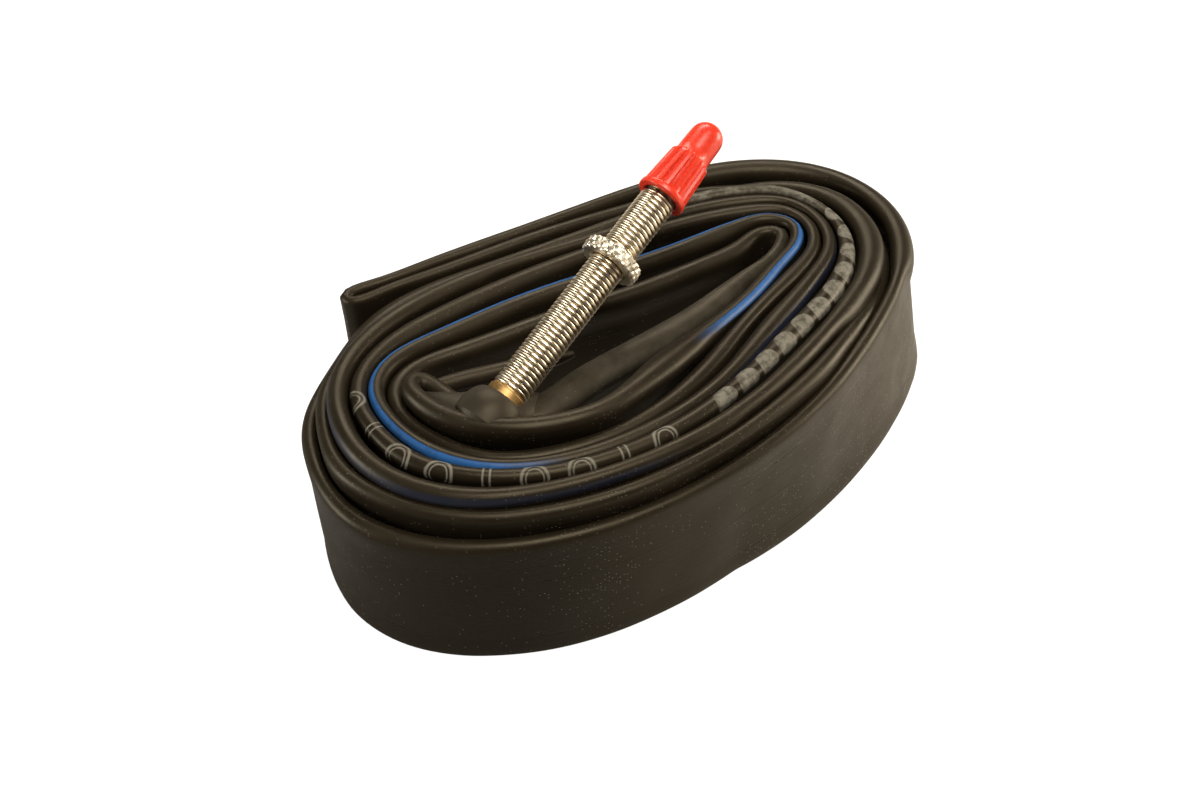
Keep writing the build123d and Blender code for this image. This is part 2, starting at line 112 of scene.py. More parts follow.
def make_floor():
    mesh = bpy.data.meshes.new("floor")
    half = FLOOR_HALF
    corners = [(-half, -half, 0), (half, -half, 0), (half, half, 0), (-half, half, 0)]
    mesh.from_pydata(corners, [], [(0, 1, 2, 3)])
    floor = bpy.data.objects.new("floor", mesh)
    floor.location.z = -0.00005
    bpy.context.scene.collection.objects.link(floor)
    material = bpy.data.materials.new("floor_white")
    material.use_nodes = True
    tree = material.node_tree
    shader = tree.nodes["Principled BSDF"]
    shader.inputs["Base Color"].default_value = (0.25, 0.25, 0.25, 1)
    shader.inputs["Roughness"].default_value = 0.9
    shader.inputs["Specular IOR Level"].default_value = 0.1
    # plain white where it is looked at; where the rubber reflects it, dim on the left and warm on the right
    rays = tree.nodes.new("ShaderNodeLightPath")
    place = tree.nodes.new("ShaderNodeTexCoord")
    split = tree.nodes.new("ShaderNodeSeparateXYZ")
    bounce = tree.nodes.new("ShaderNodeMapRange")
    glow = tree.nodes.new("ShaderNodeMapRange")
    tint = tree.nodes.new("ShaderNodeMix")
    tint.data_type = "RGBA"
    tree.links.new(place.outputs["Object"], split.inputs[0])
    tree.links.new(split.outputs["X"], bounce.inputs["Value"])
    for socket, value in zip(bounce.inputs[1:5], FLOOR_BOUNCE):
        socket.default_value = value
    tree.links.new(rays.outputs["Is Camera Ray"], glow.inputs["Value"])
    tree.links.new(bounce.outputs[0], glow.inputs["To Min"])
    glow.inputs["To Max"].default_value = 0.98
    tree.links.new(rays.outputs["Is Camera Ray"], tint.inputs[0])
    tint.inputs[6].default_value = (1.0, 0.86, 0.66, 1)
    tint.inputs[7].default_value = (1.0, 1.0, 0.99, 1)
    tree.links.new(glow.outputs[0], shader.inputs["Emission Strength"])
    tree.links.new(tint.outputs[2], shader.inputs["Emission Color"])
    mesh.materials.append(material)


make_camera()
make_world()
make_floor()
area_light("back_right", (0.20, 0.34, 0.42), (0, 0, 0.02), 0.34, 0.20, 8.0, (1.0, 0.93, 0.80))
area_light("overhead", (0.00, -0.17, 0.50), (0, 0, 0.04), 0.30, 0.28, 9.0, (1.0, 0.94, 0.82))
area_light("right_side", (0.55, -0.15, 0.12), (0.02, 0, 0.01), 0.32, 0.18, 12.0, (1.0, 0.90, 0.72))
area_light("left_back", (-0.52, 0.22, 0.12), (0, 0, 0.02), 0.16, 0.22, 16.0, (1.0, 0.97, 0.88))
bpy.context.scene.view_settings.view_transform = "Standard"


# ---- node graphs ------------------------------------------------------------------------------------
class Graph:
    """A material's nodes, written as sums."""

    def __init__(self, name):
        self.material = bpy.data.materials.new(name)
        self.material.use_nodes = True
        self.tree = self.material.node_tree
        self.shader = self.tree.nodes["Principled BSDF"]

    def node(self, kind, **settings):
        made = self.tree.nodes.new(kind)
        for key, value in settings.items():
            setattr(made, key, value)
        return made

    def put(self, socket, value):
        if isinstance(value, bpy.types.NodeSocket):
            self.tree.links.new(value, socket)
        else:
            socket.default_value = value

    def math(self, operation, a, b=0.0, c=0.0):
        made = self.node("ShaderNodeMath", operation=operation)
        for socket, value in zip(made.inputs, (a, b, c)):
            self.put(socket, value)
        return made.outputs[0]

    def ramp(self, value, low, high, to_low=0.0, to_high=1.0, smooth=True):
        """value from low to high becomes to_low to to_high, held beyond them."""
        made = self.node("ShaderNodeMapRange", interpolation_type="SMOOTHSTEP" if smooth else "LINEAR")
        for socket, number in zip(made.inputs, (value, low, high, to_low, to_high)):
            self.put(socket, number)
        return made.outputs[0]

    def band(self, value, low, high, soft):
        """1 where value lies between low and high, 0 outside, with soft edges."""
        rises = self.ramp(value, low - soft, low + soft)
        falls = self.ramp(value, high - soft, high + soft, 1.0, 0.0)
        return self.math("MULTIPLY", rises, falls)

    def mix(self, factor, a, b):
        made = self.node("ShaderNodeMix", data_type="RGBA")
        self.put(made.inputs[0], factor)
        self.put(made.inputs[6], a)
        self.put(made.inputs[7], b)
        return made.outputs[2]

    def mix_value(self, factor, a, b):
        """a where factor is 0, b where it is 1."""
        made = self.node("ShaderNodeMix", data_type="FLOAT")
        for socket, value in zip(made.inputs[:1] + made.inputs[2:4], (factor, a, b)):
            self.put(socket, value)
        return made.outputs[0]

    def noise(self, vector, scale, detail=2.0, roughness=0.5):
        made = self.node("ShaderNodeTexNoise")
        self.put(made.inputs["Vector"], vector)
        made.inputs["Scale"].default_value = scale
        made.inputs["Detail"].default_value = detail
        made.inputs["Roughness"].default_value = roughness
        return made.outputs[0]

    def place(self):
        return self.node("ShaderNodeTexCoord").outputs["Object"]

    def bump(self, height, distance, strength=1.0):
        made = self.node("ShaderNodeBump")
        made.inputs["Strength"].default_value = strength
        made.inputs["Distance"].default_value = distance
        self.put(made.inputs["Height"], height)
        self.put(self.shader.inputs["Normal"], made.outputs[0])

    def set(self, **values):
        for key, value in values.items():
            self.put(self.shader.inputs[key.replace("_", " ")], value)


# ---- mesh helpers -----------------------------------------------------------------------------------
def piece_from(name, vertices, faces, material, body, replaced=(), smooth_angle=None):
    """A new piece from points in metres, riding on a body."""
    mesh = bpy.data.meshes.new(name)
    mesh.from_pydata([tuple(v) for v in vertices], [], faces)
    mesh.update()
    mesh.polygons.foreach_set("use_smooth", [True] * len(mesh.polygons))
    if smooth_angle:
        mesh.set_sharp_from_angle(angle=math.radians(smooth_angle))
    mesh.materials.append(material)
    piece = bpy.data.objects.new(name, mesh)
    bpy.context.scene.collection.objects.link(piece)
    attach(piece, body)
    if replaced:
        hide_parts(*replaced)
    return piece


def closed_grid(rows, columns, wrap_rows):
    """Quads of a grid whose columns wrap round, and whose rows do too where wrap_rows is set."""
    faces = []
    for i in range(rows if wrap_rows else rows - 1):
        after = (i + 1) % rows
        for j in range(columns):
            beside = (j + 1) % columns
            faces.append((i * columns + j, i * columns + beside, after * columns + beside, after * columns + j))
    return faces


# ---- the strip --------------------------------------------------------------------------------------
# The two strands of the roll, going outward round it: x, y and the height of the top fold, and in some
# rows the most that half the fold's width may be, all in millimetres.
BEAD = 1.65
WIDTH = 26.0
WALL = 1.0
STEP = 1.2
outer_strand = [
    (-37.2, -0.5, 32.4), (-34.9, -6.8, 32.5), (-30.0, -11.9, 32.6), (-23.6, -15.2, 32.6),
    (-15.5, -16.4, 32.4), (-5.0, -13.2, 31.6, 2.4), (7.8, -8.8, 30.4, 2.1), (19.8, -4.2, 29.3),
    (29.8, 1.0, 28.6), (35.6, 4.6, 28.2), (37.5, 8.4, 28.0), (35.6, 11.7, 27.9), (30.0, 13.2, 27.8),
    (16.0, 13.2, 27.8), (0.0, 14.0, 28.0), (-14.0, 14.0, 28.6), (-28.0, 12.4, 29.4),
    (-36.8, 10.2, 30.0), (-41.0, 5.8, 30.4), (-41.9, -1.5, 30.6), (-39.8, -9.3, 30.7),
    (-34.4, -16.1, 30.7), (-25.3, -20.6, 30.6), (-13.0, -22.0, 30.4), (2.0, -19.4, 30.0),
    (17.0, -12.4, 29.4, 1.9), (32.6, -4.6, 28.7), (39.0, 0.0, 28.3), (42.2, 6.6, 28.0),
    (41.0, 14.0, 27.8), (34.4, 18.6, 27.7), (22.0, 21.4, 27.8), (4.0, 22.8, 28.0),
    (-14.0, 23.4, 28.6), (-28.0, 21.2, 29.4), (-39.6, 15.8, 30.2), (-45.6, 9.2, 30.8),
    (-48.4, 1.0, 31.0), (-47.6, -8.8, 31.0), (-40.4, -19.1, 31.0), (-28.7, -24.9, 31.0),
    (-14.0, -27.1, 30.9), (1.0, -25.7, 30.4), (16.8, -20.6, 29.6), (30.7, -14.2, 28.8, 2.1),
    (42.0, -6.8, 28.3, 2.3), (48.0, 1.8, 28.0, 2.3), (49.0, 11.0, 27.6, 2.2), (44.4, 19.4, 26.6, 1.9),
    (34.0, 25.4, 24.9), (18.0, 27.7, 24.2), (0.0, 28.0, 24.4), (-18.0, 28.2, 25.2),
    (-32.0, 26.6, 24.4), (-43.4, 18.9, 23.6), (-50.0, 10.9, 24.8), (-53.5, 0.8, 26.0),
    (-53.4, -9.4, 26.0), (-49.4, -17.6, 26.0), (-40.8, -24.9, 26.0), (-27.8, -30.1, 26.0),
    (-12.0, -31.8, 26.0), (4.0, -30.1, 26.0), (18.6, -25.7, 26.0), (32.5, -19.0, 26.0),
    (44.4, -11.3, 26.0, 1.9), (53.4, -1.6, 26.0, 2.0), (56.6, 8.6, 26.0, 2.1), (54.0, 19.2, 26.0, 2.2),
    (46.0, 27.2, 26.0, 2.2), (33.0, 31.8, 26.0, 2.2), (16.0, 33.1, 26.0, 2.0), (-4.0, 33.1, 26.0),
    (-20.0, 33.1, 26.0, 1.1), (-30.0, 33.1, 26.0, 1.0),
]
outer_turn = [
    (-34.0, 33.1, 26.0, 1.0), (-34.9, 32.7, 26.0, 1.0), (-35.3, 31.8, 26.0, 1.0),
    (-34.9, 30.9, 26.0, 1.0), (-34.0, 30.5, 26.0, 1.0),
]
inner_strand = [
    (-30.0, 30.5, 26.0, 1.0), (-20.0, 30.5, 26.0, 1.1), (-4.0, 30.6, 26.0), (16.0, 30.4, 25.0),
    (32.4, 28.8, 24.0), (44.0, 23.8, 23.2), (51.0, 16.6, 23.0), (52.8, 8.6, 23.0),
    (50.4, -0.4, 23.4), (43.0, -9.3, 24.6), (31.6, -16.6, 26.8), (17.7, -23.4, 28.4),
    (2.8, -27.8, 28.8), (-12.0, -29.5, 29.1), (-27.9, -27.6, 29.2), (-41.1, -21.5, 29.2),
    (-48.6, -13.0, 29.2), (-51.4, -4.2, 29.0), (-50.15, 4.2, 28.4), (-47.7, 10.3, 27.8),
    (-41.5, 17.4, 27.4), (-30.6, 24.0, 27.2), (-17.0, 25.9, 27.0), (0.0, 25.4, 27.2),
    (18.0, 24.7, 27.5), (33.0, 22.2, 27.7), (41.6, 17.2, 27.9), (44.7, 9.0, 28.0),
    (43.0, 1.0, 28.4), (35.0, -7.6, 29.0), (21.0, -14.6, 29.8), (5.0, -21.2, 30.6),
    (-11.0, -24.5, 31.1), (-25.0, -23.25, 31.3), (-35.5, -18.5, 31.3), (-42.3, -11.2, 31.2),
    (-44.8, -2.0, 31.0), (-43.5, 6.6, 30.6), (-37.2, 13.2, 30.0), (-24.0, 17.2, 29.4),
    (-8.0, 19.2, 28.6), (8.0, 19.6, 28.0), (22.0, 18.7, 27.8), (33.2, 16.0, 27.8),
    (39.0, 12.4, 27.8), (39.9, 6.8, 28.0), (36.6, 1.3, 28.2), (30.4, -2.4, 28.6, 1.8),
    (15.6, -8.9, 29.0, 1.9), (0.0, -16.4, 29.3), (-14.0, -19.4, 29.5), (-25.0, -18.0, 29.5),
    (-33.0, -14.0, 29.5), (-37.5, -7.8, 29.5), (-39.6, -0.6, 29.4), (-38.5, 4.9, 29.2),
    (-35.3, 7.9, 28.9), (-26.0, 9.0, 28.4), (-10.0, 9.0, 27.8), (6.0, 8.2, 27.3),
    (19.0, 8.5, 27.0), (28.0, 9.4, 27.0), (33.0, 10.2, 27.1), (35.0, 8.6, 27.3, 1.6),
    (33.0, 5.5, 27.5, 1.9), (23.8, 1.5, 27.9, 2.0), (10.0, -3.0, 28.6, 2.5), (-4.0, -5.9, 29.4, 2.7),
    (-14.0, -7.8, 29.8, 2.8), (-22.0, -9.6, 29.8, 3.0), (-28.4, -8.0, 29.8, 3.0),
    (-31.8, -3.2, 30.2, 2.0),
]
inner_turn = [
    (-33.4, 1.2, 30.8, 1.5), (-35.2, 3.4, 31.6, 1.4), (-36.9, 2.2, 32.2, 1.5),
]
ORIGIN = np.array([-1.35, -0.68, 0.0, 0.0])


def periodic_spline(points, step):
    """A smooth closed line through points, sampled every step along its length."""
    n = len(points)
    gap = np.linalg.norm(np.roll(points, -1, 0)[:, :3] - points[:, :3], axis=1)
    before = np.roll(gap, 1)
    slope = (np.roll(points, -1, 0) - points) / gap[:, None]
    system = np.zeros((n, n))
    for i in range(n):
        system[i, i - 1] += before[i]
        system[i, i] += 2 * (before[i] + gap[i])
        system[i, (i + 1) % n] += gap[i]
    bend = np.linalg.solve(system, 6 * (slope - np.roll(slope, 1, 0)))
    fine = 24
    t = np.linspace(0, 1, fine, endpoint=False)[None, :, None]
    a, b = points[:, None, :], np.roll(points, -1, 0)[:, None, :]
    ma, mb = bend[:, None, :], np.roll(bend, -1, 0)[:, None, :]
    h = gap[:, None, None]
    curve = (1 - t) * a + t * b + h * h / 6 * (((1 - t) ** 3 - (1 - t)) * ma + (t ** 3 - t) * mb)
    curve = curve.reshape(-1, points.shape[1])
    closed = np.vstack([curve, curve[:1]])
    run = np.concatenate([[0], np.cumsum(np.linalg.norm(np.diff(closed[:, :3], axis=0), axis=1))])
    count = int(round(run[-1] / step))
    wanted = np.linspace(0, run[-1], count, endpoint=False)
    return wanted, np.stack([np.interp(wanted, run, column) for column in closed.T], 1), run[-1]


def smoothed(values, reach):
    """values averaged over reach samples each way round the closed line."""
    kernel = np.hanning(2 * reach + 3)[1:-1]
    padded = np.concatenate([values[-reach:], values, values[:reach]])
    return np.convolve(padded, kernel / kernel.sum(), "valid")


def strip_line():
    """Samples of the strip's centre line: run, x, y, top, and half the fold's width."""
    rows = outer_strand + outer_turn + inner_strand + inner_turn
    rows = np.array([row if len(row) == 4 else row + (BEAD,) for row in rows]) + ORIGIN
    run, line, total = periodic_spline(rows, STEP)
    flat = line[:, :2]
    apart = np.linalg.norm(flat[:, None, :] - flat[None, :, :], axis=2)
    along = np.abs(run[:, None] - run[None, :])
    along = np.minimum(along, total - along)
    apart[along < 6.0] = 99.0
    # a strand lower than its neighbour leaves that one room
    apart[line[None, :, 2] < line[:, None, 2] - 1.5] = 99.0
    room = apart.min(1)
    half = np.minimum(line[:, 3], np.maximum(room / 2, room - BEAD) - 0.03)
    way = np.roll(flat, -1, 0) - np.roll(flat, 1, 0)
    way /= np.linalg.norm(way, axis=1)[:, None]
    turn = np.linalg.norm(np.roll(way, -1, 0) - np.roll(way, 1, 0), axis=1) / (2 * STEP)
    half = np.minimum(half, 0.85 / np.maximum(turn, 1e-3))
    low = np.minimum.reduce([np.roll(half, k) for k in (-2, -1, 0, 1, 2)])
    return run, flat, line[:, 2], way, smoothed(low, 2), total


def strip_section(half, width):
    """Half a section from the crest down one side to the bottom fold: offsets, depths and girths."""
    wall = min(WALL, half - 0.05)
    deep = min(half, 1.9)
    foot = min(half, 1.3)
    points = []
    for k in range(9):
        a = math.radians(90 * k / 8)
        points.append((half * math.sin(a), deep * (1 - math.cos(a))))
    for k in range(1, 7):
        t = k / 6
        ease = t * t * (3 - 2 * t)
        points.append((half + (wall - half) * ease, deep + 5.0 * t))
    foot_top = width - foot - 4.0
    wall_top = points[-1][1]
    for k in range(1, 5):
        points.append((wall, wall_top + (foot_top - wall_top) * k / 4))
    for k in range(1, 5):
        t = k / 4
        ease = t * t * (3 - 2 * t)
        points.append((wall + (foot - wall) * ease, foot_top + 4.0 * t))
    for k in range(1, 6):
        a = math.radians(90 * k / 5)
        points.append((foot * math.cos(a), width - foot + foot * math.sin(a)))
    points = np.array(points)
    points[-1, 0] = 0.0
    girth = np.concatenate([[0], np.cumsum(np.linalg.norm(np.diff(points, axis=0), axis=1))])
    return points[:, 0], points[:, 1], girth


LEAN = 6.0
LEAN_FROM = np.array([15.0, 12.0])


def lean(x, y, depth):
    """How far the roll's right-hand end leans outward, by depth below the top."""
    x, y = x - ORIGIN[0], y - ORIGIN[1]
    way = np.array([x, y]) - LEAN_FROM
    way /= max(np.linalg.norm(way), 14.0)
    across = np.clip(x / 50.0, 0, 1)
    behind = np.clip((26.0 - y) / 18.0, 0, 1)
    share = across ** 0.9 * behind * behind * (3 - 2 * behind) * LEAN * depth / WIDTH
    return way[0] * share, way[1] * share


def ripple(run, depth, total):
    """The wall's slight waviness."""
    turn = 2 * math.pi * run / total
    wave = (np.sin(37 * turn) + 0.7 * np.sin(83 * turn + 1.3 + depth * 0.1)
            + 0.5 * np.sin(151 * turn + depth * 0.2))
    return 0.07 * wave * np.sin(math.pi * np.clip(depth / WIDTH, 0, 1)) ** 0.5


def make_strip(material):
    run, flat, top, way, half, total = strip_line()
    left = np.stack([-way[:, 1], way[:, 0]], 1)
    vertices = []
    girths = []
    for i in range(len(run)):
        offset, depth, girth = strip_section(half[i], min(WIDTH, top[i]))
        # down the right-hand side, then up the left-hand side
        offset = np.concatenate([-offset, offset[-2:0:-1]])
        girths.append(np.concatenate([girth, -girth[-2:0:-1]]))
        depth = np.concatenate([depth, depth[-2:0:-1]])
        offset = offset + ripple(run[i], depth, total)
        x = flat[i, 0] + left[i, 0] * offset
        y = flat[i, 1] + left[i, 1] * offset
        dx, dy = lean(flat[i, 0], flat[i, 1], depth)
        vertices.append(np.stack([x + dx, y + dy, top[i] - depth], 1))
    columns = len(vertices[0])
    vertices = np.concatenate(vertices) * MM
    vertices[:, 2] = np.maximum(vertices[:, 2], 0.0)
    faces = closed_grid(len(run), columns, True)
    strip = piece_from("rolled_tube", vertices, faces, material, "tube", ["inner_tube"])
    # where a point lies on the strip, in millimetres: along it, and round it from the crest
    girths = np.array(girths)
    layer = strip.data.uv_layers.new(name="strip")
    runs = np.repeat(run, columns).reshape(-1, columns)
    corners = np.zeros((len(faces), 4, 2))
    rows = np.arange(len(run))
    after = (rows + 1) % len(run)
    beyond = np.where(after == 0, total, run[after])
    for j in range(columns):
        beside = (j + 1) % columns
        block = np.arange(len(run)) * columns + j
        near, far = girths[rows, j], girths[rows, beside]
        near_after, far_after = girths[after, j], girths[after, beside]
        if j == columns // 2:
            near, near_after = -near, -near_after
        corners[block, 0] = np.stack([run, near], 1)
        corners[block, 1] = np.stack([run, far], 1)
        corners[block, 2] = np.stack([beyond, far_after], 1)
        corners[block, 3] = np.stack([beyond, near_after], 1)
    layer.data.foreach_set("uv", corners.reshape(-1))
    return strip, run, flat


def run_at(run, flat, x, y):
    """How far along the strip its centre line passes the table's x, y."""
    return float(run[np.argmin(np.hypot(flat[:, 0] - x - ORIGIN[0], flat[:, 1] - y - ORIGIN[1]))])


# two cuts in the outermost wall, each from one x, y to another
SLITS = (((-4.9, -31.4), (1.0, -30.7)), ((4.6, -30.0), (9.8, -28.7)))


RUBBER_SHEEN = (1.0, 0.86, 0.64, 1)


# ---- rubber -----------------------------------------------------------------------------------------
def rubber_material(run, flat):
    """Satin brown-black butyl, with what is printed and moulded on it placed along and round the strip."""
    g = Graph("tube_rubber")
    uv = g.node("ShaderNodeUVMap", uv_map="strip").outputs[0]
    split = g.node("ShaderNodeSeparateXYZ")
    g.put(split.inputs[0], uv)
    u, v = split.outputs[0], split.outputs[1]
    place = g.place()

    cloud = g.noise(place, 90.0, 4.0, 0.6)
    grain = g.noise(place, 1500.0, 3.0, 0.6)
    colour = g.mix(cloud, (0.0095, 0.0068, 0.0038, 1), (0.0195, 0.0145, 0.0085, 1))
    colour = g.mix(g.ramp(grain, 0.62, 0.80, 0.0, 0.30), colour, (0.060, 0.052, 0.038, 1))

    # grey, dusty part of the strand beside the valve
    grey_from, grey_to = run_at(run, flat, 33.0, 5.5), run_at(run, flat, -22.0, -9.6)
    grey = g.band(u, grey_from, grey_to, 9.0)
    grey = g.math("MULTIPLY", grey, g.ramp(g.noise(place, 260.0, 3.0, 0.7), 0.30, 0.72, 0.35, 1.0))
    grey = g.math("MULTIPLY", grey, g.ramp(g.math("ABSOLUTE", v), 2.2, 5.0, 1.0, 0.0))
    colour = g.mix(g.math("MULTIPLY", grey, 0.55), colour, (0.080, 0.072, 0.056, 1))

    # blue stripe, beside the crest of one strand
    blue_from, blue_to = run_at(run, flat, 9.0, -8.2), run_at(run, flat, -29.0, -19.3)
    blue_end = run_at(run, flat, -12.0, -27.1)
    stripe = g.math("MULTIPLY", g.band(u, blue_from, blue_to, 6.0), g.band(v, 0.35, 1.65, 0.16))
    faint = g.math("MULTIPLY", g.band(u, blue_to, blue_end, 6.0), g.band(v, 1.3, 2.6, 0.3))
    worn = g.ramp(g.noise(place, 700.0, 3.0, 0.6), 0.30, 0.55, 0.70, 1.0)
    colour = g.mix(g.math("MULTIPLY", faint, 0.22), colour, (0.012, 0.040, 0.120, 1))
    colour = g.mix(g.math("MULTIPLY", stripe, worn), colour, (0.022, 0.110, 0.330, 1))

    # printed marks on the next strand: outlined arches, bars, then filled half-discs and a washed-out band
    first, last = run_at(run, flat, 24.0, 24.0), run_at(run, flat, -43.5, 6.6)
    washed_to = run_at(run, flat, 44.7, 9.0)
    discs_to, blank_to = run_at(run, flat, -0.8, -22.9), run_at(run, flat, -7.6, -24.0)
    out = g.math("MULTIPLY", v, -1.0)
    marks = printed_marks(g, u, out, place, first, washed_to, discs_to, blank_to, last)
    colour = g.mix(marks, colour, (0.215, 0.205, 0.175, 1))

    # mould lines on the walls
    girth = g.math("ABSOLUTE", v)
    lines = g.band(girth, 21.9, 22.2, 0.08)
    for height in (4.2, 5.6, 9.2, 12.8):
        line = g.math("MULTIPLY", g.band(girth, height - 0.05, height + 0.08, 0.06), 0.8)
        lines = g.math("MAXIMUM", lines, line)
    for start, stop in SLITS:
        cut = g.band(u, run_at(run, flat, *start), run_at(run, flat, *stop), 0.5)
        slit = g.math("MULTIPLY", cut, g.band(v, 5.2, 5.5, 0.08))
        lines = g.math("MAXIMUM", lines, slit)
    broken = g.ramp(g.noise(place, 70.0, 2.0), 0.42, 0.58, 0.10, 1.0)
    lines = g.math("MULTIPLY", lines, broken)
    colour = g.mix(g.math("MULTIPLY", lines, 0.8), colour, (0.006, 0.005, 0.003, 1))

    # talc
    cells = g.node("ShaderNodeTexVoronoi", voronoi_dimensions="2D")
    g.put(cells.inputs["Vector"], uv)
    cells.inputs["Scale"].default_value = 1.7
    pick = g.node("ShaderNodeSeparateColor")
    g.put(pick.inputs[0], cells.outputs["Color"])
    dot = g.ramp(cells.outputs["Distance"], 0.06, 0.20, 1.0, 0.0)
    patchy = g.ramp(g.noise(place, 55.0, 3.0, 0.6), 0.40, 0.68, 0.99, 0.80)
    specks = g.math("MULTIPLY", dot, g.math("GREATER_THAN", pick.outputs[0], patchy))
    specks = g.math("MULTIPLY", specks, g.ramp(girth, 2.0, 4.5, 0.35, 0.9))
    colour = g.mix(g.math("MULTIPLY", specks, 0.7), colour, (0.36, 0.34, 0.30, 1))

    rough = g.ramp(cloud, 0.3, 0.7, 0.36, 0.48)
    rough = g.math("ADD", rough, g.math("MULTIPLY", marks, 0.2))
    g.set(Base_Color=colour, Roughness=rough, Specular_IOR_Level=0.30, Specular_Tint=RUBBER_SHEEN)
    drawn = g.node("ShaderNodeCombineXYZ")
    g.put(drawn.inputs[0], g.math("MULTIPLY", u, 0.05))
    g.put(drawn.inputs[1], g.math("MULTIPLY", v, 1.6))
    streaks = g.noise(drawn.outputs[0], 1.0, 3.0)
    height = g.math("ADD", g.math("MULTIPLY", grain, 0.35), g.math("MULTIPLY", streaks, 0.5))
    height = g.math("SUBTRACT", height, g.math("MULTIPLY", lines, 1.2))
    height = g.math("ADD", height, g.math("MULTIPLY", specks, 0.4))
    g.bump(height, 0.00009, 0.6)
    return g.material


def printed_marks(g, u, out, place, first, washed_to, discs_to, blank_to, last):
    """How strong the print is. out is millimetres from the crest towards the outside of the roll."""
    long = 6.5
    cell = g.math("DIVIDE", g.math("SUBTRACT", u, last), long)
    index = g.math("FLOOR", cell)
    x = g.math("MULTIPLY", g.math("SUBTRACT", g.math("FRACT", cell), 0.5), long)
    arch = oval(g, x, out, 1.9, 2.5, 1.5)
    ring = g.math("MAXIMUM", g.band(arch, 0.86, 1.06, 0.06), g.band(arch, 0.60, 0.70, 0.05))
    bars = g.math("MULTIPLY", g.band(g.math("ABSOLUTE", x), 0.35, 0.62, 0.08), g.band(out, -1.2, 2.6, 0.15))
    is_bar = g.math("COMPARE", g.math("FLOORED_MODULO", index, 3.0), 1.0, 0.4)
    outlined = g.mix_value(is_bar, ring, bars)
    outlined = g.math("MULTIPLY", outlined, g.band(u, blank_to, last, 1.0))

    disc_long = 5.4
    cell = g.math("DIVIDE", g.math("SUBTRACT", u, discs_to), disc_long)
    x = g.math("MULTIPLY", g.math("SUBTRACT", g.math("FRACT", cell), 0.5), disc_long)
    disc = oval(g, x, out, 2.2, 2.6, 1.3)
    filled = g.ramp(disc, 0.92, 1.05, 1.0, 0.0)
    filled = g.math("MULTIPLY", filled, g.ramp(g.noise(place, 900.0, 3.0, 0.7), 0.35, 0.60, 0.35, 1.0))
    filled = g.math("MULTIPLY", filled, g.band(u, washed_to, discs_to, 1.0))

    wash = g.ramp(g.noise(place, 420.0, 4.0, 0.7), 0.38, 0.66, 0.10, 0.9)
    washed = g.math("MULTIPLY", g.band(u, first, washed_to, 4.0), g.band(out, -1.2, 1.6, 0.5))
    wash = g.math("MULTIPLY", wash, washed)

    print_on = g.math("MAXIMUM", g.math("MAXIMUM", outlined, filled), wash)
    print_on = g.math("MULTIPLY", print_on, g.band(out, -1.7, 2.6, 0.2))
    return g.math("MULTIPLY", print_on, g.ramp(g.noise(place, 500.0, 3.0, 0.7), 0.25, 0.5, 0.35, 0.8))


def oval(g, x, y, wide, tall, y_at):
    """Distance from an oval's centre, 1 on its edge."""
    across = g.math("POWER", g.math("DIVIDE", x, wide), 2.0)
    up = g.math("DIVIDE", g.math("SUBTRACT", y, y_at), tall)
    return g.math("SQRT", g.math("ADD", across, g.math("MULTIPLY", up, up)))


def plain_rubber(name, dark, light, roughness):
    """Rubber with nothing printed on it."""
    g = Graph(name)
    place = g.place()
    cloud = g.noise(place, 160.0, 4.0, 0.65)
    grain = g.noise(place, 1500.0, 3.0, 0.6)
    colour = g.mix(cloud, dark, light)
    colour = g.mix(g.ramp(grain, 0.62, 0.8, 0.0, 0.4), colour, (0.10, 0.09, 0.07, 1))
    g.set(Base_Color=colour, Roughness=g.ramp(cloud, 0.3, 0.7, roughness - 0.05, roughness + 0.07),
          Specular_IOR_Level=0.30, Specular_Tint=RUBBER_SHEEN)
    g.bump(grain, 0.00006, 0.5)
    return g.material


# ---- metal and plastic ------------------------------------------------------------------------------
def plated_material(axis_point, axis):
    """Warm nickel over brass, with the brass bare at the foot and painted shade darkening the thread roots."""
    g = Graph("plated_brass")
    along, out = axis_sums(g, axis_point, axis)
    place = g.place()
    wear = g.noise(place, 380.0, 4.0, 0.65)
    plate = g.mix(wear, (0.66, 0.55, 0.40, 1), (0.80, 0.71, 0.56, 1))
    brass = g.mix(wear, (0.42, 0.25, 0.09, 1), (0.62, 0.40, 0.17, 1))
    bare = g.ramp(along, COLLAR_LEN + 0.1, COLLAR_LEN + 0.5, 1.0, 0.0)
    colour = g.mix(bare, plate, brass)
    # painted shade: the colour darkens towards dark brown down in the thread roots, where shade falls between
    # the bright crests
    root = g.ramp(out, THREAD_ROOT + 0.02, STEM / 2 - 0.06, 0.85, 0.0)
    root = g.math("MULTIPLY", root, g.ramp(along, COLLAR_LEN + 0.3, COLLAR_LEN + 1.0))
    colour = g.mix(root, colour, (0.13, 0.085, 0.04, 1))
    rough = g.math("ADD", g.ramp(wear, 0.3, 0.7, 0.26, 0.36), g.math("MULTIPLY", bare, 0.16))
    g.set(Base_Color=colour, Metallic=1.0, Roughness=rough)
    g.bump(g.noise(place, 2500.0, 2.0), 0.00001, 0.4)
    return g.material


def metal_material(name, dark, light, rough_low, rough_high):
    g = Graph(name)
    place = g.place()
    wear = g.noise(place, 520.0, 4.0, 0.65)
    rough = g.ramp(wear, 0.3, 0.7, rough_low, rough_high)
    g.set(Base_Color=g.mix(wear, dark, light), Metallic=1.0, Roughness=rough)
    g.bump(g.noise(place, 2600.0, 2.0), 0.00001, 0.5)
    return g.material


